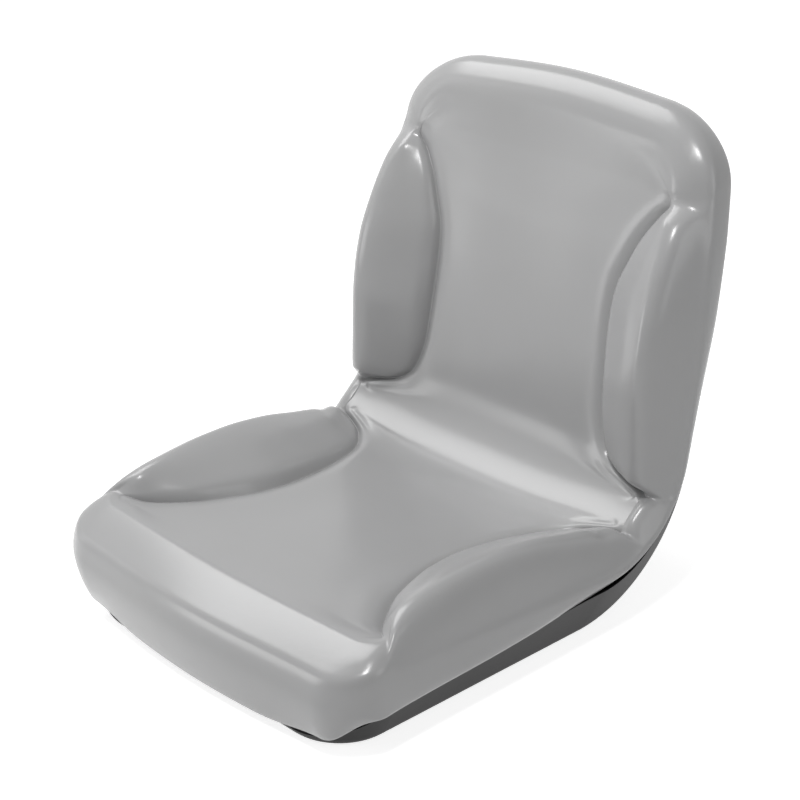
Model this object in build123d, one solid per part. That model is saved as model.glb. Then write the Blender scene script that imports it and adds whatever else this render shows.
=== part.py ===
"""High-back garden tractor seat: moulded cushion, pressed steel pan and the weld nuts that hold it down.

The frame has +Z up, the seat faces -Y, and the origin is the middle of the bolt pattern on the pan's
underside. Every cross-section stands square to one side-view line, the underside of the pan: along the
floor, round the bend and up the back. A place on that line is a run in millimetres, zero at the origin.
"""
import os
from math import cos, pi, radians, sin, tan
from build123d import *

# Side view of the pan's underside
seat_front = 196.0
floor_rear = 160.0
bend_radius = 170.0
back_recline = 6.0
back_rise = 367.0

# Outline of the cushion at its widest
front_half = 224.0
waist_half = 234.0
top_half = 206.0

# Cushion surface, as heights above the pan's underside
front_height = 114.0
crease_height = 95.0
lumbar_height = 78.0
top_height = 72.0
hollow = 7.0
edge_roll = 32.0
edge_fall = 1.5
rim_tuck = 3.0
side_lip = 78.0
back_lip = 46.0

# Front and top rolls: each turns about a line across the seat
front_axis_height = 43.0
front_wrap = 120.0
front_bow = 12.0
top_axis_height = 10.0
top_wrap = 94.0
top_bow = 5.0
roll_core = 7.0
corner_lip = 24.0
corner_lean = 2.5
corner_turn = 60.0
corner_tuck = 20.0
tuck_power = 2.5

# Lower edge of the cushion
bend_rim = 66.0
back_rim = 27.0
back_rim_rise = 140.0
rim_ease = 45.0

# Bolsters: where each starts, is fullest and ends, its reach inward and its rise
groove_depth = 4.0
shoulder = 16.0
flank_across = 0.4
flank_up = 0.78
roll_across = 0.7
roll_up = 0.72
seat_bolster_tip = -134.0
seat_bolster_full = 50.0
seat_bolster_end = 256.0
seat_bolster_reach = 74.0
seat_bolster_rise = 35.0
seat_reach_powers = (3.0, 4.5)
seat_rise_powers = (2.8, 3.0)
back_bolster_end = 360.0
back_bolster_full = 490.0
back_bolster_tip = 684.0
back_bolster_reach = 64.0
back_bolster_rise = 37.0
back_reach_powers = (6.0, 3.5)
back_rise_powers = (4.0, 2.4)
end_power = 1.2

# Pan
sheet = 1.5
rim_gap = 3.0
rim_overlap = 3.0
pan_floor_inset = 36.0
pan_flare = 27.0
pan_depth = 84.0
pan_front_inset = 28.0
pan_top_inset = 20.0
pan_corner = 56.0
pan_fold = 18.0
foam_clearance = 0.3

# Mounting holes and the nuts welded over them
bolt_depth = 292.0
bolt_width = 285.8
bolt_hole = 8.4
nut_bore = 8.0
nut_flats = 13.0
nut_height = 6.5
pocket_room = 3.0
pocket_height = 34.0

section_steps = 28
rim_steps = 30

# Where the points of the section curves lie along them, the same in every section
main_knots = (0, 0.1, 0.5, 0.9, 1)
side_knots = (0, 0.18, 0.4, 0.64, 0.85, 1)

front_run = -seat_front
front_radius = front_height - front_axis_height
front_axis_run = front_radius - seat_front
front_edge_run = front_axis_run - front_radius * radians(front_wrap)
bend_turn = radians(90 - back_recline)
back_run = floor_rear + bend_radius * bend_turn
top_run = back_run + back_rise
top_radius = top_height - top_axis_height
top_axis_run = top_run - top_radius
top_edge_run = top_axis_run + top_radius * radians(top_wrap)


def spine(run):
    """Plane of the pan's cross-section at a run: local x is the seat's x, local y points into the foam."""
    turn = min(max((run - floor_rear) / bend_radius, 0), bend_turn)
    along = run - floor_rear - turn * bend_radius
    y = floor_rear + bend_radius * sin(turn) + along * cos(turn)
    z = bend_radius * (1 - cos(turn)) + along * sin(turn)
    return Plane(origin=(0, y, z), x_dir=(1, 0, 0), z_dir=(0, -cos(turn), -sin(turn)))


def cushion_plane(run):
    """The same, and past the rolls' axes the plane turns about them."""
    if run < front_axis_run:
        axis = spine(front_axis_run) * Pos(0, front_axis_height, 0)
        turn = Rot((front_axis_run - run) / front_radius * 180 / pi, 0, 0)
        return Plane(axis * turn * Pos(0, -front_axis_height, 0))
    if run > top_axis_run:
        axis = spine(top_axis_run) * Pos(0, top_axis_height, 0)
        turn = Rot((top_axis_run - run) / top_radius * 180 / pi, 0, 0)
        return Plane(axis * turn * Pos(0, -top_axis_height, 0))
    return spine(run)


def blend(run, *stops):
    """Smooth step from value to value between the runs of the stops."""
    for (start, low), (end, high) in zip(stops, stops[1:]):
        if run <= end:
            share = min(max((run - start) / (end - start), 0), 1)
            return low + (high - low) * share * share * (3 - 2 * share)
    return stops[-1][1]


def swell(run, start, full, end, powers):
    """Rise from 0 at the start to 1 where fullest, and back to 0 at the end."""
    share = (run - full) / (end - full) if run > full else (full - run) / (full - start)
    power = powers[1] if run > full else powers[0]
    return max(1 - share ** power, 0) ** end_power


def wide_half(run):
    """Half-width of the cushion at its widest, drawn in where the rolls turn under."""
    front_turn = max(front_axis_run - run, 0) / (front_axis_run - front_edge_run)
    top_turn = max(run - top_axis_run, 0) / (top_edge_run - top_axis_run)
    body = blend(run, (front_axis_run, front_half), (floor_rear, waist_half), (back_run, waist_half),
                 (top_axis_run, top_half))
    return body - corner_tuck * (front_turn + top_turn) ** tuck_power


def section_rim(run):
    """Lower edge of the cushion in its own section."""
    return blend(run, (front_axis_run, front_axis_height + roll_core), (floor_rear, bend_rim),
                 (floor_rear + bend_radius / 3, bend_rim), (back_run + back_rim_rise, back_rim),
                 (top_axis_run, top_axis_height + roll_core))


def rim_height(run):
    """The same edge over the pan's underside: it slants down under the front and top rolls."""
    front_past = max(front_axis_run - run, 0)
    top_past = max(run - top_axis_run, 0)
    step = blend(run, (front_axis_run, roll_core), (front_axis_run + rim_ease, 0),
                 (top_axis_run - rim_ease, 0), (top_axis_run, roll_core))
    front_slant = tan(radians(front_wrap - 90)) * front_past
    top_slant = tan(radians(top_wrap - 90)) * top_past
    return section_rim(run) - step - front_slant - top_slant


def bolster(run):
    """Inward reach and rise of the bolster at a run, both zero between the bolsters."""
    if run < (seat_bolster_end + back_bolster_end) / 2:
        stops = (seat_bolster_tip, seat_bolster_full, seat_bolster_end)
        reach = seat_bolster_reach * swell(run, *stops, seat_reach_powers)
        return reach, seat_bolster_rise * swell(run, *stops, seat_rise_powers)
    stops = (back_bolster_end, back_bolster_full, back_bolster_tip)
    reach = back_bolster_reach * swell(run, *stops, back_reach_powers)
    return reach, back_bolster_rise * swell(run, *stops, back_rise_powers)


def mirror(points):
    return [(-x, h) for x, h in points]


def curve(points, knots):
    """Curve through the points of a section, each at its own share of the curve."""
    return Edge.make_spline([Vector(x, h) for x, h in points], parameters=knots)


def corner_share(run):
    """0 along the sides and 1 where the front or top roll has turned its corners round."""
    front_turned = front_axis_run - front_radius * radians(corner_turn)
    top_turned = top_axis_run + top_radius * radians(corner_turn)
    return blend(run, (front_turned, 1), (front_axis_run, 0), (top_axis_run, 0), (top_turned, 1))


def cushion_section(run):
    """Section of the cushion above its lower edge: main surface, bolster, side roll and underside."""
    corner = corner_share(run)
    at_front = run < floor_rear
    wide = wide_half(run)
    roll = edge_roll + corner * ((front_radius if at_front else top_radius) - edge_roll)
    dip = hollow * (1 - corner)
    bow = corner * (front_bow if at_front else top_bow)
    side_height = blend(run, (floor_rear, side_lip), (back_run + back_rim_rise, back_lip))
    axis_height = front_axis_height if at_front else top_axis_height
    lip = side_height + corner * (axis_height + corner_lip - side_height)
    crest = blend(run, (front_axis_run, front_height), (floor_rear, crease_height),
                  (back_run, lumbar_height), (top_axis_run, top_height))
    rim = section_rim(run)
    reach, rise = bolster(run)
    top_x = wide - roll
    groove_x = top_x - roll / 2 - reach
    shoulder_x = groove_x - shoulder

    def surface(x):
        return crest - bow * (x / top_x) ** 2 - dip * (1 - min(x / groove_x, 1) ** 2)

    depth = groove_depth * min(reach / shoulder, 1)
    climb = depth + rise - edge_fall
    flank_x = groove_x + flank_across * (top_x - groove_x)
    groove = surface(groove_x) - depth
    top = surface(top_x) - depth + climb
    half = [(groove_x, groove), (shoulder_x, surface(shoulder_x))]
    main = curve([*mirror(half), (0, surface(0)), *reversed(half)], main_knots)
    side = [
        (groove_x, groove),
        (flank_x, surface(flank_x) - depth + flank_up * climb),
        (top_x, top),
        (top_x + roll_across * roll, lip + roll_up * (top - lip)),
        (wide - corner_lean * corner, lip),
        (wide - rim_tuck * (1 - corner), rim),
    ]
    right = curve(side, side_knots)
    left = curve(mirror(side), side_knots)
    under = Line(side[-1], (-side[-1][0], rim))
    return cushion_plane(run) * make_face([main, right, under, left])


def spread(start, end, *shares):
    return [start + (end - start) * share for share in shares]


def cushion_runs():
    """Runs of the cushion's sections, evenly spaced from the front edge to the top edge."""
    shares = [step / section_steps for step in range(section_steps + 1)]
    return spread(front_edge_run, top_edge_run, *shares)


def dish_end(far, near_half, far_half, inset, plain):
    """Half of the dish along local +y: a tapered block with eased edges and corners, cut off at y = 0."""
    root = -2 * pan_depth
    root_half = near_half + (far_half - near_half) * root / far
    outline = [(-root_half, root), (-far_half, far), (far_half, far), (root_half, root)]
    floor = make_face(Polyline(*outline, close=True))
    corners = floor.vertices().group_by(Axis.Y)[-1]
    floor = chamfer(corners, pan_corner) if plain else fillet(corners, pan_corner)
    block = extrude(floor, pan_depth, taper=-pan_flare)
    folds = block.edges().group_by(Axis.Z)[0]
    fold = pan_fold - inset
    block = chamfer(folds, fold * tan(radians(90 - pan_flare) / 2)) if plain else fillet(folds, fold)
    return split(block, Plane.XZ, keep=Keep.BOTTOM)


def dish(inset, plain=False):
    """Solid of the pan's outside, or of its inside set in by a wall, with no rim yet."""
    narrower = pan_floor_inset + inset * (1 / cos(radians(pan_flare)) - tan(radians(pan_flare)))
    waist = waist_half - narrower
    front_far = floor_rear + seat_front - pan_front_inset - inset
    top_far = back_rise - pan_top_inset - inset
    turned = Plane(origin=(0, floor_rear, inset), x_dir=(-1, 0, 0), z_dir=(0, 0, 1))
    seat = turned.location * dish_end(front_far, waist, front_half - narrower, inset, plain)
    end = spine(back_run)
    upright = Plane(origin=end.origin + end.y_dir * inset, x_dir=(1, 0, 0), z_dir=end.y_dir)
    back = upright.location * dish_end(top_far, waist, top_half - narrower, inset, plain)
    rear_face = seat.faces().sort_by(Axis.Y)[-1]
    bend = revolve(rear_face, Axis((0, floor_rear, bend_radius), (1, 0, 0)), 90 - back_recline)
    return seat + bend + back


def above_rim(over):
    """Everything over the pan's rim line, raised by a height, as a side-view profile across the seat."""
    shares = [step / rim_steps for step in range(rim_steps + 1)]
    runs = spread(front_run - pan_depth, top_run + pan_depth, *shares)
    line = [spine(run).origin + spine(run).y_dir * (rim_height(run) - rim_gap + over) for run in runs]
    points = [(point.Y, point.Z) for point in line]
    clear = -2 * seat_front
    around = Polyline(points[-1], (clear, points[-1][1]), (clear, points[0][1]), points[0])
    profile = make_face([Spline(*points), *around.edges()])
    return extrude(Plane.YZ * profile, 2 * waist_half, both=True)


def bolt_places():
    """Bolt positions at the corners of the mounting pattern."""
    return [Pos(x * bolt_width / 2, y * bolt_depth / 2, 0) for x in (-1, 1) for y in (-1, 1)]


def make_pan():
    shell = dish(0) - dish(sheet) - above_rim(0)
    hole = Cylinder(bolt_hole / 2, 4 * sheet)
    return shell - [place * hole for place in bolt_places()]


def make_nuts():
    nut = extrude(RegularPolygon(nut_flats / 2, 6, major_radius=False), nut_height)
    nut -= Cylinder(nut_bore / 2, 2 * nut_height)
    return Compound(children=[place * Pos(0, 0, sheet) * nut for place in bolt_places()])


def make_cushion():
    roll = loft([cushion_section(run) for run in cushion_runs()])
    belly = dish(sheet + foam_clearance, plain=True) - above_rim(rim_gap + rim_overlap)
    pocket = Box(nut_flats + 2 * pocket_room, nut_flats + 2 * pocket_room, 2 * pocket_height)
    return roll + belly - [place * pocket for place in bolt_places()]


os.makedirs("parts", exist_ok=True)
export_step(make_cushion(), "parts/cushion.step")
export_step(make_pan(), "parts/seat_pan.step")
export_step(make_nuts(), "parts/weld_nuts.step")
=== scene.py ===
# %% [markdown]
# # High-back garden tractor seat
# The real seat is a moulded foam cushion with a grey vinyl skin, held in a pressed steel pan. This lesson
# loads the part's solids as a fixed frame, models the soft skin in place of the cushion's solid, gives each
# piece its finish, and sets up a small photo studio. Lengths are written in millimetres and turned to metres
# where a point is placed.

# %% Load the frame
from math import cos, radians, sin
import bpy
import bmesh
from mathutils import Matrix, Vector


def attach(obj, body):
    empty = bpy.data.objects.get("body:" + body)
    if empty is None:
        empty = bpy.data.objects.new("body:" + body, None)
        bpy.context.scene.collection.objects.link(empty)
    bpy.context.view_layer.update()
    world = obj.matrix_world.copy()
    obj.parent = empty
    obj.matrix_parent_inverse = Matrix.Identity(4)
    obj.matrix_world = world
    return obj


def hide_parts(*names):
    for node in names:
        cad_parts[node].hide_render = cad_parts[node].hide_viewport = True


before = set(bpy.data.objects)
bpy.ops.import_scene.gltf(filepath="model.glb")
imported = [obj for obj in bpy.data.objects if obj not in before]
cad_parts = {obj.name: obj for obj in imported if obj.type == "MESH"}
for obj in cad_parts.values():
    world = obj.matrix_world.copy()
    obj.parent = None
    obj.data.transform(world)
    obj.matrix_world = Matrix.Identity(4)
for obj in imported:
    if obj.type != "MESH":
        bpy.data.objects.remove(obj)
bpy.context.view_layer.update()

# %% [markdown]
# ## The line under the seat
# A bent seat is easiest to shape on a straightened strip. A run is a length along the pan's underside: along
# the floor, round the bend and up the back. A point is then a run, a distance across and a height into the
# foam. A lattice could bend a flat cushion too, but a formula keeps each height true to the pan.

# %% Place a point from its run, its distance across and its height
FLOOR_REAR = 160.0
BEND_RADIUS = 170.0
BEND_TURN = radians(84)
BACK_RUN = FLOOR_REAR + BEND_RADIUS * BEND_TURN
FRONT_RUN = -196.0
TOP_RUN = BACK_RUN + 363.0

# The front and top outlines bow outwards in the middle, each over its own stretch of the run
BOW_HALF = 210.0
FRONT_BOW, FRONT_BOW_START, FRONT_BOW_LENGTH = 11.0, -96.0, 100.0
TOP_BOW, TOP_BOW_LENGTH = 12.0, 110.0

# The top of the back leans back a little more than the pan
TOP_LEAN, LEAN_START, LEAN_LENGTH = 6.0, 540.0, 230.0


def ease(share):
    """Smooth step from 0 to 1."""
    share = min(max(share, 0.0), 1.0)
    return share * share * (3 - 2 * share)


def place(run, across, height):
    """The point in metres."""
    bow = ease(abs(across) / BOW_HALF)
    front = FRONT_BOW * bow * ease((FRONT_BOW_START - run) / FRONT_BOW_LENGTH)
    top = TOP_BOW * bow * ease((run - TOP_RUN + TOP_BOW_LENGTH) / TOP_BOW_LENGTH)
    run += front - top
    turn = min(max((run - FLOOR_REAR) / BEND_RADIUS, 0.0), BEND_TURN)
    rest = run - FLOOR_REAR - turn * BEND_RADIUS
    lean = TOP_LEAN * ease((run - LEAN_START) / LEAN_LENGTH)
    y = FLOOR_REAR + (BEND_RADIUS - height) * sin(turn) + rest * cos(turn) + lean
    z = BEND_RADIUS - (BEND_RADIUS - height) * cos(turn) + rest * sin(turn)
    return Vector((across, y, z)) / 1000


print("middle of the top edge in mm", [round(1000 * value) for value in place(TOP_RUN, 0, 30)])

# %% [markdown]
# ## The lines of the cushion
# The outline, the groove beside each bolster, the bolster's height and the edges are lines along the run.
# Each could be a curve object, but a short list of stops is easier to read and to change. It is straight
# between stops, and the subdivision surface rounds the corners that are left.

# %% Rolls, corners and the ends of the straight sides
FRONT_ROLL, TOP_ROLL = 54.0, 44.0
CORNER_FRONT, CORNER_TOP = 50.0, 85.0
CREST_CORNER_FRONT, CREST_CORNER_TOP = 24.0, 41.0
FIRST_RUN = FRONT_RUN + FRONT_ROLL + CREST_CORNER_FRONT
LAST_RUN = TOP_RUN - TOP_ROLL - CREST_CORNER_TOP
WAIST_RUN = 310.0


def line(run, *stops):
    """Straight between stops of run and value."""
    for (start, low), (end, high) in zip(stops, stops[1:]):
        if run <= end:
            share = max((run - start) / (end - start), 0.0)
            return low + (high - low) * share
    return stops[-1][1]


print("straight sides from run", round(FIRST_RUN), "to", round(LAST_RUN))


# %% Lines of the groove
def groove_across(run):
    """Distance of the groove from the middle."""
    if run < WAIST_RUN:
        return line(run, (-118, 198), (-108, 184), (-60, 147), (0, 125), (50, 119), (110, 126), (200, 152),
                    (232, 168), (252, 190), (264, 208))
    return line(run, (356, 208), (366, 188), (378, 164), (400, 146), (440, 130), (540, 124), (580, 125),
                (636, 148), (664, 168), (678, 184))


def groove_share(run):
    """How deep the groove is, from 0 to 1: it fades at the tips and stops short of the waist."""
    return line(run, (-116, 0), (-96, 1), (254, 1), (264, 0.7), (276, 0), (343, 0), (354, 0.7), (364, 1),
                (660, 1), (680, 0.4), (690, 0))


def groove_turn(run):
    """Lean along the run of the line square to the groove, so that the lip follows the groove round."""
    return line(run, (FIRST_RUN, -0.1), (-106, -0.35), (-60, -0.35), (0, 0), (150, 0.1), (200, 0.25),
                (232, 0.5), (252, 0.75), (264, 0.75), (WAIST_RUN, 0), (352, -0.75), (366, -0.75),
                (378, -0.6), (400, -0.3), (450, 0), (570, 0), (620, 0.4), (660, 0.4), (LAST_RUN, 0.1))


print("groove at its furthest in", groove_across(50), "on the seat and", groove_across(540), "on the back")

# %% Lines of the bolsters and the edges
EDGE_ROLL, BOLSTER_ROLL, SHOULDER_ROLL = 21.0, 13.0, 17.0
SHOULDER_RUN, SHOULDER_LENGTH = 640.0, 50.0
FULL_RISE = 20.0


def half_width(run):
    """Distance of the outline from the middle."""
    return line(run, (FIRST_RUN, 225), (FLOOR_REAR, 233), (BACK_RUN, 234), (560, 230), (640, 222),
                (LAST_RUN, 214))


def bolster_rise(run):
    """Height of the crest over the main surface, with a notch across the edge at each blunt end."""
    if run < WAIST_RUN:
        return line(run, (-118, 2), (-112, 7), (-104, 15), (-92, 22), (-70, 29), (-17, 37), (37, 40),
                    (92, 36), (130, 28), (200, 19), (238, 14), (250, 10), (259, 0), (264, -4), (274, 0),
                    (292, 4))
    return line(run, (328, 4), (346, 0), (355, -4), (359, 0), (367, 15), (378, 22), (400, 27), (440, 33),
                (490, 41), (530, 43), (570, 40), (610, 31), (648, 19), (664, 11), (672, 0), (678, -3),
                (688, 0))


def edge_height(run):
    """Height of the main surface beside the groove."""
    return line(run, (-142, 114), (FLOOR_REAR, 97), (250, 92), (340, 84), (BACK_RUN, 78), (620, 71),
                (TOP_RUN, 57))


def side_roll(run):
    """Distance from the outline in to the crest: wider beside a bolster and at the shoulders."""
    bolster = BOLSTER_ROLL * ease(bolster_rise(run) / FULL_RISE)
    shoulder = SHOULDER_ROLL * ease((run - SHOULDER_RUN) / SHOULDER_LENGTH)
    return EDGE_ROLL + bolster + shoulder


print("seat bolster rises", bolster_rise(37), "back bolster rises", bolster_rise(530))

# %% [markdown]
# ## The top of the cushion
# The top is a grid inside the edge's crest line. Its columns follow the groove, so the crease stays crisp,
# and its rows lie closer where a bolster starts or ends. At each end the grid's corners are pulled onto a
# round corner, and the rows there blend into the end line. Sculpting could give the same forms, but a grid
# that follows them can be changed by one value.

# %% One row from the middle to the crest of the edge
GROOVE_DEPTH = 9.0
LEAST_FLANK = 6.0
MAIN_SHARES = (0, 0.22, 0.44, 0.64, 0.82)

# Steps down the lip of the groove: distance from it, lift, and what a blunt end adds to each
LIP = ((27, 0, -4, 0), (17, -0.4, -2, -3), (9, -2.4, 0, 2.2), (3.5, -6, 0, 1))

# Steps up the bolster's flank: shares of the way across and of the climb
FLANK = ((0.05, 0.2), (0.14, 0.36), (0.3, 0.49), (0.52, 0.68), (0.78, 0.89))

# The column that runs along the floor of the groove
GROOVE_COLUMN = len(MAIN_SHARES) + len(LIP)


def half_section(run):
    """Points (run, across, height) from the middle to the crest of the edge."""
    dip = line(run, (FIRST_RUN, 3), (-40, 6), (620, 6), (660, 8), (LAST_RUN, 7))
    blunt = line(run, (210, 0), (245, 1), (375, 1), (405, 0))
    edge = edge_height(run)
    crest = edge + bolster_rise(run)
    crest_x = half_width(run) - side_roll(run)
    groove_x = min(groove_across(run), crest_x - LEAST_FLANK)
    depth = groove_share(run)
    lean = groove_turn(run)

    def hollow(x):
        """How far the main surface dips below its edge."""
        return dip * (1 - (x / groove_x) ** 4)

    def beside(away, lift):
        """A point on the main surface, away from the groove."""
        x = groove_x - away * (1 - lean * lean) ** 0.5
        return run + lean * away, x, edge_height(run + lean * away) - hollow(x) + lift * depth

    lip = [beside(away + further * blunt, lift + more * blunt) for away, lift, further, more in LIP]
    near_run, near_x, _ = lip[0]
    points = []
    for share in MAIN_SHARES:
        x = share * near_x
        points.append((run + (near_run - run) * share ** 3, x, edge - hollow(x)))
    floor = edge - GROOVE_DEPTH * depth
    points += lip + [(run, groove_x, floor)]
    for share, climb in FLANK:
        points.append((run, groove_x + share * (crest_x - groove_x), floor + climb * (crest - floor)))
    return points + [(run, crest_x, crest)]


print("columns from the middle to the crest", len(half_section(0)))

# %% Rows and columns of the grid
RUNS = [FIRST_RUN, -113, -106, -98, -88, -74, -56, -36, -16, 4, 24, 44, 64, 84, 104, 124, 144, 164, 184, 202,
        217, 229, 238, 245, 251, 256, 261, 266, 274, 286, 300, 316, 330, 341, 349, 355, 360, 365, 371, 378,
        388, 400, 414, 430, 448, 468, 488, 508, 528, 548, 568, 586, 603, 618, 631, 643, 653, 662, 670, 677,
        684, LAST_RUN]

# Turns of the corner that end the rows, and then those that end the columns, from 0 facing the end
CORNER_TURNS = (45, 56, 67, 79)
END_TURNS = (11, 22, 34, 45)
END_SHARES = (0, 0.2, 0.38, 0.53, 0.65, 0.75, 0.82, 0.88, 0.92, 0.95, 0.98, 1)
ROWS = [("front", turn) for turn in CORNER_TURNS] + [("side", run) for run in RUNS]
ROWS += [("top", turn) for turn in reversed(CORNER_TURNS)]
HALF_COLUMNS = len(END_SHARES) + len(END_TURNS) - 1
print("rows", len(ROWS), "columns", 2 * HALF_COLUMNS + 1)

# %% [markdown]
# ## The rolled edge
# From the crest line the skin slopes down to a second, softer edge, turns into the wall, tucks under and
# turns up inside the pan's rim. A bevel would give one round all the way along. So each point of the crest
# line carries its own profile: wide and sloping at the front, narrow beside the bolsters and rounder on the
# back. Round the corners the profile changes from one to the other.

# %% Profile of the edge at a place on the outline
CORNER_TUCK = 20.0
FRONT_DROP = 10.0
SECOND_FALL = 14.0
PLAIN_POWER, BOLSTER_POWER = 1.7, 1.1
AHEAD_RUN = -50.0
FRONT_EDGE = {"crest": 113, "second": 91, "lip": 58, "rim": 18, "tuck": 13, "power": 1.2, "slant": 0.58}
TOP_EDGE = {"crest": 58, "second": 43, "lip": 26, "rim": 10, "tuck": 3, "power": 2.2, "slant": 0.1}


def side_edge(run):
    """Profile on a straight side, from its crest to its outline. Near the front the outline runs ahead."""
    edge, wide, rise = edge_height(run), half_width(run), bolster_rise(run)
    ahead = (FIRST_RUN - FRONT_RUN - CORNER_FRONT) * ease((AHEAD_RUN - run) / (AHEAD_RUN - FIRST_RUN))
    return {
        "outer": (run - ahead, wide),
        "inner": (run, wide - side_roll(run)),
        "crest": edge + rise,
        "second": edge - SECOND_FALL,
        "lip": line(run, (FIRST_RUN, 74), (FLOOR_REAR, 76), (BACK_RUN + 140, 46), (LAST_RUN, 40)),
        "rim": line(run, (FIRST_RUN, 47), (0, 50.5), (60, 54), (110, 60), (FLOOR_REAR, 65), (276, 66),
                    (331, 60), (373, 52), (415, 45), (500, 33), (550, 27), (LAST_RUN, 13)),
        "tuck": line(run, (FIRST_RUN, 5), (200, 4), (330, 7), (480, 6), (600, 3), (LAST_RUN, 3)),
        "power": PLAIN_POWER + BOLSTER_POWER * ease(rise / FULL_RISE),
        "slant": 0.0,
    }


def corner_edge(end, turn):
    """Profile on a round corner: turn is 0 facing the end and 90 facing sideways."""
    front = end == "front"
    side = side_edge(FIRST_RUN if front else LAST_RUN)
    radii = (CORNER_FRONT, CREST_CORNER_FRONT) if front else (CORNER_TOP, CREST_CORNER_TOP)
    far = ease(1 - turn / 90)
    ahead = (-1 if front else 1) * cos(radians(turn))
    goal = FRONT_EDGE if front else TOP_EDGE
    made = {key: side[key] + far * (value - side[key]) for key, value in goal.items()}
    made["rim"] = side["rim"] + far * far * (goal["rim"] - side["rim"])
    made["tuck"] += CORNER_TUCK * far * (1 - far) if front else 0
    for key, radius in zip(("outer", "inner"), radii):
        run, across = side[key]
        made[key] = run + radius * ahead, across - radius * (1 - sin(radians(turn)))
    return made


def end_edge(end, share):
    """Profile on the straight middle of the front or the top, at a share of its half-length."""
    made = corner_edge(end, 0)
    made["rim"] -= FRONT_DROP * ease(2 - 2 * share) if end == "front" else 0
    for key in ("outer", "inner"):
        made[key] = made[key][0], made[key][1] * share
    return made


print("crest of the side at the origin", side_edge(0)["crest"])

# %% Points down the profile
ROLL_SHARES = (0.86, 0.66, 0.52, 0.43, 0.27, 0.13)
SECOND_EDGE = 3

# Steps down the wall: share of the roll inside the outline, and of the fall from the second edge to the lip
WALL = ((0.05, 0.3), (0.0, 0.65), (0.0, 1.0))
WALL_FOOT = 4.0

# Steps of the hem: in from the tuck and up from the rim
HEM = ((1, 0), (3, 2), (5, 7))


def on_edge(edge, share, height):
    """Run, distance across and height of a point: share is 0 on the outline and 1 on the crest."""
    (run, across), (crest_run, crest_across) = edge["outer"], edge["inner"]
    return run + share * (crest_run - run), across + share * (crest_across - across), height


def profile(edge):
    """Points from the crest line out over both edges, down the wall and under."""
    crest, second, lip, rim, tuck = (edge[key] for key in ("crest", "second", "lip", "rim", "tuck"))
    roll = (Vector(edge["inner"]) - Vector(edge["outer"])).length
    steps = []
    for share in ROLL_SHARES:
        out = (1 - share) / (1 - ROLL_SHARES[-1])
        steps.append((share, crest - (crest - second) * out ** edge["power"]))
    steps += [(share, second - fall * (second - lip)) for share, fall in WALL]
    steps += [(0.3 * tuck / roll, (lip + rim) / 2), (0.8 * tuck / roll, rim + WALL_FOOT)]
    steps += [((tuck + inward) / roll, rim + up) for inward, up in HEM]
    steps.append((1.0, rim + HEM[-1][1] + edge["slant"] * (roll - tuck)))
    return [on_edge(edge, share, height) for share, height in steps]


print("points down the edge", len(profile(side_edge(0))))

# %% [markdown]
# ## Each vertex's place
# On the cushion the rolls run on into the seat without a seam. So each border vertex of the grid finds its
# own profile, on a side, a corner or an end, and the vertices inside are blended from the border's crest
# and the nearest straight row.

# %% Edge of each row and column, and the points of the top
def row_edge(row):
    """Profile at the end of a row."""
    kind, value = ROWS[row]
    return side_edge(value) if kind == "side" else corner_edge(kind, value)


def column_edge(end, column):
    """Profile at the end of a column, at the front or the top."""
    if column < len(END_SHARES):
        return end_edge(end, END_SHARES[column])
    return corner_edge(end, END_TURNS[column - len(END_SHARES)])


def crest_point(edge):
    return on_edge(edge, 1.0, edge["crest"])


def mix(first, second, share):
    return tuple(a + (b - a) * share for a, b in zip(first, second))


def top_point(row, column):
    """Run, distance across and height on the right half of the top."""
    kind, value = ROWS[row]
    if kind == "side":
        return half_section(value)[column]
    steps = row if kind == "front" else len(ROWS) - 1 - row
    share = steps / len(CORNER_TURNS)
    straight = half_section(FIRST_RUN if kind == "front" else LAST_RUN)
    blended = mix(crest_point(column_edge(kind, column)), straight[column], share)
    corner = mix(crest_point(column_edge(kind, HALF_COLUMNS)), straight[-1], share)
    pull = (column / HALF_COLUMNS) ** 3
    rim = crest_point(row_edge(row))
    return tuple(b + pull * (r - c) for b, r, c in zip(blended, rim, corner))


print("front corner of the top", [round(value) for value in top_point(0, HALF_COLUMNS)])

# %% [markdown]
# ## The moulded cushion
# The skin is one closed moulding. It could be inflated by a cloth simulation, but a foam moulding keeps the
# crisp grooves of its mould, which a simulation would puff away. So a grid is laid over the seat, its border
# is extruded step by step down the edge's profile, the underside is bridged, and subdivision rounds it.

# %% Lay the grid and extrude its border
CREST_CREASE, SECOND_CREASE, GROOVE_CREASE = 0.15, 0.25, 0.5


def lay_top(shell):
    """Moves a flat grid onto the seat and marks each vertex with its row and column."""
    rows, columns = len(ROWS) - 1, 2 * HALF_COLUMNS
    bmesh.ops.create_grid(shell, x_segments=rows, y_segments=columns, size=1.0)
    row_mark = shell.verts.layers.int.new("row")
    column_mark = shell.verts.layers.int.new("column")
    for vert in shell.verts:
        row = round((vert.co.x + 1) / 2 * rows)
        column = round((vert.co.y + 1) / 2 * columns) - HALF_COLUMNS
        run, across, height = top_point(row, abs(column))
        vert[row_mark], vert[column_mark] = row, column
        vert.co = place(run, across if column >= 0 else -across, height)
    return row_mark, column_mark


def border_edge(row, column):
    """Profile at a border vertex."""
    if abs(column) == HALF_COLUMNS:
        return row_edge(row)
    return column_edge("front" if row == 0 else "top", abs(column))


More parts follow.
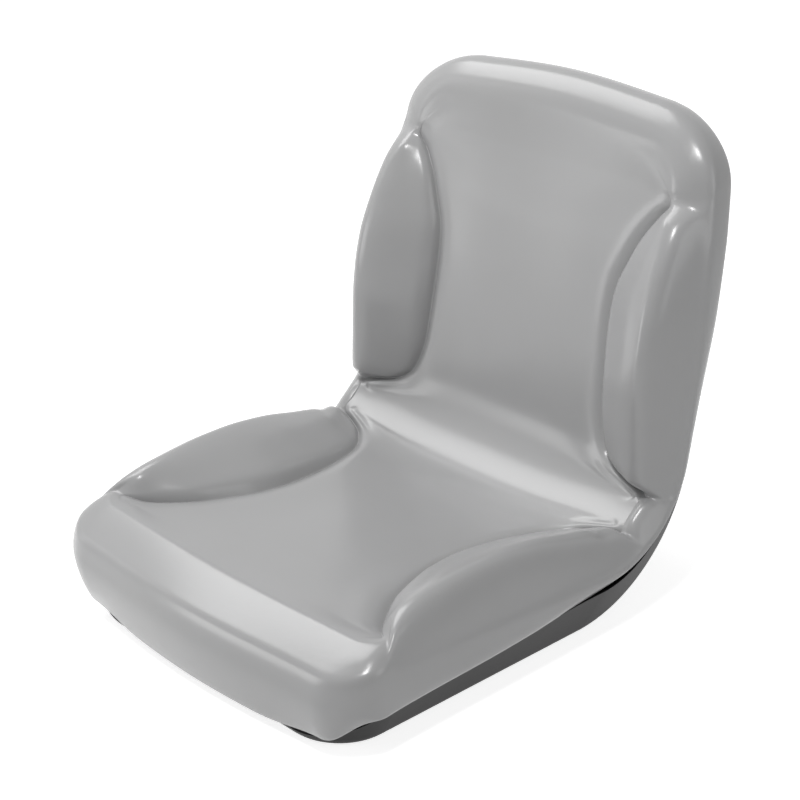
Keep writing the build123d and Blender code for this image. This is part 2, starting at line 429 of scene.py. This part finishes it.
def extrude_border(shell, row_mark, column_mark):
    """Extrudes the border once for each step of the profile, and returns the last border."""
    crease = shell.edges.layers.float.new("crease_edge")
    border = [edge for edge in shell.edges if edge.is_boundary]
    for edge in border:
        edge[crease] = CREST_CREASE
    for edge in shell.edges:
        if all(abs(vert[column_mark]) == GROOVE_COLUMN for vert in edge.verts):
            edge[crease] = GROOVE_CREASE
    for step in range(len(profile(side_edge(0)))):
        made = bmesh.ops.extrude_edge_only(shell, edges=border)["geom"]
        fresh = {item for item in made if isinstance(item, bmesh.types.BMVert)}
        edges = [item for item in made if isinstance(item, bmesh.types.BMEdge)]
        border = [edge for edge in edges if set(edge.verts) <= fresh]
        for edge in border:
            edge[crease] = SECOND_CREASE if step == SECOND_EDGE else 0.0
        for vert in fresh:
            run, across, height = profile(border_edge(vert[row_mark], vert[column_mark]))[step]
            vert.co = place(run, across if vert[column_mark] >= 0 else -across, height)
    return border


shell = bmesh.new()
row_mark, column_mark = lay_top(shell)
border = extrude_border(shell, row_mark, column_mark)
print("faces of the top and the edge", len(shell.faces))


# %% Close the underside and round the skin
def close_underside(shell, border, column_mark):
    """Bridges the underside from side to side and fills what is left at the two ends."""
    sides = [edge for edge in border if all(abs(vert[column_mark]) == HALF_COLUMNS for vert in edge.verts)]
    bmesh.ops.bridge_loops(shell, edges=sides)
    bmesh.ops.holes_fill(shell, edges=[edge for edge in shell.edges if edge.is_boundary], sides=0)
    bmesh.ops.recalc_face_normals(shell, faces=shell.faces)
    for face in shell.faces:
        face.smooth = True


def add_piece(name, shape):
    """Turns a bmesh into an object of the scene."""
    mesh = bpy.data.meshes.new(name)
    shape.to_mesh(mesh)
    shape.free()
    piece = bpy.data.objects.new(name, mesh)
    bpy.context.scene.collection.objects.link(piece)
    return piece


close_underside(shell, border, column_mark)
cushion = add_piece("moulded_cushion", shell)
rounding = cushion.modifiers.new("rounding", "SUBSURF")
rounding.levels = 2
rounding.render_levels = 2
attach(cushion, "root")
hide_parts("cushion")
print("cushion faces before rounding", len(cushion.data.polygons))

# %% [markdown]
# ## Finishes
# A finish is a shader with a few patterns plugged into it. Each pattern could be a picture, but one that is
# worked out at each point has no seam and no blur. Its scale comes from a real size in millimetres.

# %% Helpers for colours, nodes and materials
def srgb(code):
    """Hex colour as linear RGBA."""
    parts = [int(code[at:at + 2], 16) / 255 for at in (1, 3, 5)]
    return [part / 12.92 if part <= 0.04045 else ((part + 0.055) / 1.055) ** 2.4 for part in parts] + [1.0]


def node(tree, kind, settings=None, links=None):
    """Adds a node with its settings, then links sockets into its inputs."""
    made = tree.nodes.new(kind)
    for name, value in (settings or {}).items():
        if name in made.inputs:
            made.inputs[name].default_value = value
        else:
            setattr(made, name, value)
    for name, source in (links or {}).items():
        tree.links.new(source, made.inputs[name])
    return made


def material(name):
    """A new material, its node tree and its shader."""
    made = bpy.data.materials.new(name)
    made.use_nodes = True
    return made, made.node_tree, made.node_tree.nodes["Principled BSDF"]


print("mid grey as linear light", round(srgb("#a0a0a0")[0], 3))

# %% [markdown]
# ## Vinyl
# The skin is soft vinyl pressed against a grained mould: satin, with a fine pebble and long shallow creases.
# Geometry that fine would take millions of faces, so the grain is a bump. The pebble of such a skin is
# about a millimetre across or less. It is drawn at 1.6 mm, so that it shows at all.

# %% Moulded vinyl
def moulded_vinyl():
    """Grey vinyl skin: the grain breaks up the satin highlight, and the colour hardly varies."""
    made, tree, shader = material("moulded_grey_vinyl")
    where = node(tree, "ShaderNodeTexCoord").outputs["Object"]
    pebble_mm, pebble_depth_mm = 1.6, 0.005
    crease_mm, crease_depth_mm = 5.0, 0.05
    cloud_mm = 111.0
    pebble = node(tree, "ShaderNodeTexVoronoi", {"Scale": 1000 / pebble_mm, "feature": "SMOOTH_F1"},
                  {"Vector": where})
    stretch = node(tree, "ShaderNodeMapping", {"Scale": (1.0, 1.0, 0.25)}, {"Vector": where})
    crease = node(tree, "ShaderNodeTexNoise", {"Scale": 1000 / crease_mm, "Detail": 1.0},
                  {"Vector": stretch.outputs["Vector"]})
    cloud = node(tree, "ShaderNodeTexNoise", {"Scale": 1000 / cloud_mm, "Detail": 2.0}, {"Vector": where})
    tint = node(tree, "ShaderNodeMix", {"data_type": "RGBA", "A": srgb("#a0a0a0"), "B": srgb("#a5a5a6")},
                {"Factor": cloud.outputs["Fac"]})
    gloss = node(tree, "ShaderNodeMapRange", {"To Min": 0.20, "To Max": 0.26},
                 {"Value": crease.outputs["Fac"]})
    fine = node(tree, "ShaderNodeBump", {"Strength": 1.0, "Distance": pebble_depth_mm / 1000},
                {"Height": pebble.outputs["Distance"]})
    coarse = node(tree, "ShaderNodeBump", {"Strength": 1.0, "Distance": crease_depth_mm / 1000},
                  {"Height": crease.outputs["Fac"], "Normal": fine.outputs["Normal"]})
    tree.links.new(tint.outputs[2], shader.inputs["Base Color"])
    tree.links.new(gloss.outputs["Result"], shader.inputs["Roughness"])
    tree.links.new(coarse.outputs["Normal"], shader.inputs["Normal"])
    shader.inputs["IOR"].default_value = 1.5
    return made


cushion.data.materials.append(moulded_vinyl())
print("skin", cushion.data.materials[0].name)

# %% [markdown]
# ## Powder coat and zinc
# The pan is sheet steel with a baked black powder coat, which leaves a slight orange peel and a low sheen.
# The nuts are zinc plated. Both are worked from noise on the solids' own meshes, which stay as they are.

# %% Finishes of the pan and the nuts
def powder_coat():
    """Black powder coat: low sheen over a faint orange peel."""
    made, tree, shader = material("black_powder_coat")
    where = node(tree, "ShaderNodeTexCoord").outputs["Object"]
    peel_mm, peel_depth_mm = 3.0, 0.3
    peel = node(tree, "ShaderNodeTexNoise", {"Scale": 1000 / peel_mm, "Detail": 2.0}, {"Vector": where})
    tint = node(tree, "ShaderNodeMix", {"data_type": "RGBA", "A": srgb("#121112"), "B": srgb("#181718")},
                {"Factor": peel.outputs["Fac"]})
    bump = node(tree, "ShaderNodeBump", {"Strength": 0.15, "Distance": peel_depth_mm / 1000},
                {"Height": peel.outputs["Fac"]})
    tree.links.new(tint.outputs[2], shader.inputs["Base Color"])
    tree.links.new(bump.outputs["Normal"], shader.inputs["Normal"])
    shader.inputs["Roughness"].default_value = 0.55
    shader.inputs["Specular IOR Level"].default_value = 0.3
    return made


def zinc_plate():
    """Zinc plating: pale metal with a faintly mottled sheen."""
    made, tree, shader = material("zinc_plated_steel")
    where = node(tree, "ShaderNodeTexCoord").outputs["Object"]
    mottle_mm = 2.0
    mottle = node(tree, "ShaderNodeTexNoise", {"Scale": 1000 / mottle_mm, "Detail": 3.0}, {"Vector": where})
    gloss = node(tree, "ShaderNodeMapRange", {"To Min": 0.28, "To Max": 0.42},
                 {"Value": mottle.outputs["Fac"]})
    tree.links.new(gloss.outputs["Result"], shader.inputs["Roughness"])
    shader.inputs["Base Color"].default_value = srgb("#c4c5c2")
    shader.inputs["Metallic"].default_value = 1.0
    return made


for name, finish in (("seat_pan", powder_coat()), ("weld_nuts", zinc_plate())):
    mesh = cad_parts[name].data
    mesh.materials.clear()
    mesh.materials.append(finish)
print("finishes", [finish.name for finish in bpy.data.materials])

# %% [markdown]
# ## Studio
# A product photo on white: the seat stands on white paper, whose far edge is lost in a white room. Lit
# paper alone would come out grey, and brighter lamps would burn out the seat. So the floor and the room
# glow only for rays that see them, from the camera or from a reflection, and the floor keeps the shadow.

# %% White floor and room
FLOOR_DROP_M = 0.0004
FLOOR_GLOW = 0.8
ROOM_LIGHT, ROOM_SEEN = 0.17, 1.0


def seen(tree):
    """1 for rays from the camera, from a mirror and through glass, 0 for light that reaches the object."""
    path = node(tree, "ShaderNodeLightPath").outputs
    bounced = node(tree, "ShaderNodeMath", {"operation": "ADD"})
    tree.links.new(path["Is Glossy Ray"], bounced.inputs[0])
    tree.links.new(path["Is Transmission Ray"], bounced.inputs[1])
    either = node(tree, "ShaderNodeMath", {"operation": "ADD", "use_clamp": True})
    tree.links.new(path["Is Camera Ray"], either.inputs[0])
    tree.links.new(bounced.outputs["Value"], either.inputs[1])
    return either.outputs["Value"]


def white_paper():
    """Matt white paper that glows a little where it is seen."""
    made, tree, shader = material("white_paper")
    shader.inputs["Base Color"].default_value = srgb("#e6e6e6")
    shader.inputs["Roughness"].default_value = 0.9
    shader.inputs["Emission Color"].default_value = srgb("#ffffff")
    glow = node(tree, "ShaderNodeMapRange", {"To Max": FLOOR_GLOW}, {"Value": seen(tree)})
    tree.links.new(glow.outputs["Result"], shader.inputs["Emission Strength"])
    return made


def white_floor():
    """A sheet just under the pan, so that the two never lie in one plane."""
    sheet = bmesh.new()
    bmesh.ops.create_grid(sheet, x_segments=2, y_segments=2, size=6.0)
    bmesh.ops.translate(sheet, verts=sheet.verts, vec=(0, 0, -FLOOR_DROP_M))
    floor = add_piece("floor", sheet)
    floor.data.materials.append(white_paper())


def white_room():
    """A world that is white where it is seen and lights the seat only a little."""
    world = bpy.data.worlds.new("white_room")
    bpy.context.scene.world = world
    world.use_nodes = True
    tree = world.node_tree
    background = tree.nodes["Background"]
    background.inputs["Color"].default_value = srgb("#ffffff")
    strength = node(tree, "ShaderNodeMapRange", {"To Min": ROOM_LIGHT, "To Max": ROOM_SEEN},
                    {"Value": seen(tree)})
    tree.links.new(strength.outputs["Result"], background.inputs["Strength"])


white_floor()
white_room()
bpy.context.scene.view_settings.view_transform = "Standard"
print("room", bpy.context.scene.world.name)

# %% [markdown]
# ## Lights and camera
# A broad lamp overhead on the left gives the soft bands on the rolls. Weak lamps in front, on the left and
# on the right fill the walls, and a small one high over the front right gives the glints on the corners and
# tips. A sun would cast a hard shadow, so all five are rectangles. The camera looks down on the seat from
# the front right, with a long lens.

# %% Lamps
LIT_POINT = Vector((0, 0.1, 0.2))


def soft_light(name, place_m, size_m, watts):
    """Rectangular lamp that faces the middle of the seat."""
    lamp = bpy.data.lights.new(name, "AREA")
    lamp.shape = "RECTANGLE"
    lamp.size, lamp.size_y = size_m
    lamp.energy = watts
    thing = bpy.data.objects.new(name, lamp)
    thing.location = place_m
    thing.rotation_euler = (LIT_POINT - Vector(place_m)).to_track_quat("-Z", "Y").to_euler()
    bpy.context.scene.collection.objects.link(thing)


soft_light("overhead", (-1.1, -0.1, 2.1), (1.2, 1.5), 31)
soft_light("front", (-0.9, -1.5, 0.4), (0.7, 0.7), 6)
soft_light("left", (-1.9, -1.0, 0.9), (0.4, 1.4), 2)
soft_light("right", (1.9, 0.2, 1.0), (0.8, 1.2), 4.5)
soft_light("glint", (0.6, -0.75, 2.0), (0.22, 0.22), 13)
print("lamps", [lamp.name for lamp in bpy.data.lights])

# %% Camera
AIM = Vector((0, 0.097, 0.217))
AZIMUTH, ELEVATION = radians(45.65), radians(24.42)
DISTANCE_M = 1.911

camera_data = bpy.data.cameras.new("camera")
camera_data.sensor_width = 36.0
camera_data.lens = 84.2
camera = bpy.data.objects.new("camera", camera_data)
level = Vector((sin(AZIMUTH), -cos(AZIMUTH), 0)) * cos(ELEVATION)
camera.location = AIM + DISTANCE_M * (level + Vector((0, 0, sin(ELEVATION))))
camera.rotation_euler = (AIM - camera.location).to_track_quat("-Z", "Y").to_euler()
bpy.context.scene.collection.objects.link(camera)
bpy.context.scene.camera = camera
print("camera at", [round(value, 3) for value in camera.location])
